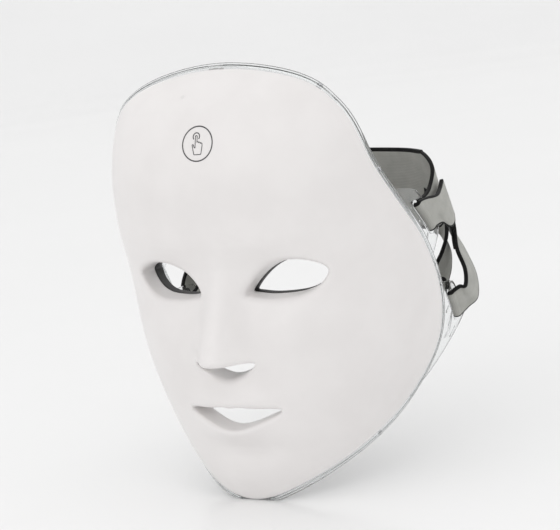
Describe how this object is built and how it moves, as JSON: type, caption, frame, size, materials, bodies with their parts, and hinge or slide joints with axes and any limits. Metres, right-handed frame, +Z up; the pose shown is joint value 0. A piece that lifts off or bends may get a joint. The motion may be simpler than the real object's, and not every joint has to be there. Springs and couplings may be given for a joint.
{
  "type": "led face mask",
  "caption": "Full-face light therapy mask: white moulded shell over a clear liner with light boards, eye, nose and mouth openings, and a soft grey head band in side slots.",
  "frame": {"origin": "wearer's nose bridge, midway between the eyes, where the liner faces the skin under the shell", "axes": "+Z up along the wearer's face, the mask faces -Y, +X to the wearer's left"},
  "size_m": [0.193, 0.1531, 0.2411],
  "materials": {
    "shell_white": "satin moulded",
    "liner_clear": "clear moulded polycarbonate",
    "silicone_black": "matt",
    "flex_board": "white solder mask",
    "led_body": "clear over phosphor",
    "flex_link": "polyimide film",
    "circuit_board": "solder mask",
    "chip": "moulded epoxy",
    "copper": "plated copper foil",
    "spring_steel": "plated wire",
    "print_grey": "pad print",
    "pouch_foil": "laminated foil",
    "lead_insulation": "silicone insulation",
    "socket_steel": "nickel plated",
    "light_window": "tinted window",
    "screw_steel": "zinc plated",
    "hook_tape": "moulded hooks",
    "neoprene_grey": "knit faces on black foam"
  },
  "bodies": {
    "mask": {"front_shell": "shell_white", "clear_liner": "liner_clear", "eye_gasket_left": "silicone_black", "eye_gasket_right": "silicone_black", "led_board_forehead": "flex_board", "led_board_cheek_left": "flex_board", "led_board_cheek_right": "flex_board", "led_board_chin": "flex_board", "leds_forehead": "led_body", "leds_cheek_left": "led_body", "leds_cheek_right": "led_body", "leds_chin": "led_body", "flex_link_temple_left": "flex_link", "flex_link_temple_right": "flex_link", "flex_link_chin_left": "flex_link", "flex_link_chin_right": "flex_link", "control_board": "circuit_board", "control_chips": "chip", "touch_electrode": "copper", "touch_spring": "spring_steel", "touch_mark": "print_grey", "battery_pouch": "pouch_foil", "battery_lead": "lead_insulation", "charge_board": "circuit_board", "charge_socket": "socket_steel", "charge_lead": "lead_insulation", "indicator_light": "light_window", "liner_screws": "screw_steel", "strap_tail_upper_left": "neoprene_grey", "strap_tail_upper_right": "neoprene_grey", "strap_tail_lower_left": "neoprene_grey", "strap_tail_lower_right": "neoprene_grey"},
    "head_band": {"strap_back_panel": "neoprene_grey"},
    "flap_upper_left": {"strap_flap_upper_left": "neoprene_grey", "hook_tape_upper_left": "hook_tape"},
    "flap_upper_right": {"strap_flap_upper_right": "neoprene_grey", "hook_tape_upper_right": "hook_tape"},
    "flap_lower_left": {"strap_flap_lower_left": "neoprene_grey", "hook_tape_lower_left": "hook_tape"},
    "flap_lower_right": {"strap_flap_lower_right": "neoprene_grey", "hook_tape_lower_right": "hook_tape"}
  },
  "joints": [
    {"name": "band_stretch", "type": "slide", "parent": "mask", "child": "head_band", "axis": [0, 1, 0], "range_m": [0, 0.025], "stiffness_N_per_m": 120},
    {"name": "flap_upper_left_peel", "type": "hinge", "parent": "mask", "child": "flap_upper_left", "pos_m": [0.08987, 0.06127, 0.0173], "axis": [0.0726, 0.6277, -0.7751], "range_deg": [0, 80]},
    {"name": "flap_upper_right_peel", "type": "hinge", "parent": "mask", "child": "flap_upper_right", "pos_m": [-0.08987, 0.06127, 0.0173], "axis": [0.0726, -0.6277, 0.7751], "range_deg": [0, 80]},
    {"name": "flap_lower_left_peel", "type": "hinge", "parent": "mask", "child": "flap_lower_left", "pos_m": [0.08793, 0.09019, -0.03891], "axis": [-0.1462, 0.6226, -0.7688], "range_deg": [0, 80]},
    {"name": "flap_lower_right_peel", "type": "hinge", "parent": "mask", "child": "flap_lower_right", "pos_m": [-0.08793, 0.09019, -0.03891], "axis": [-0.1462, -0.6226, 0.7688], "range_deg": [0, 80]}
  ]
}
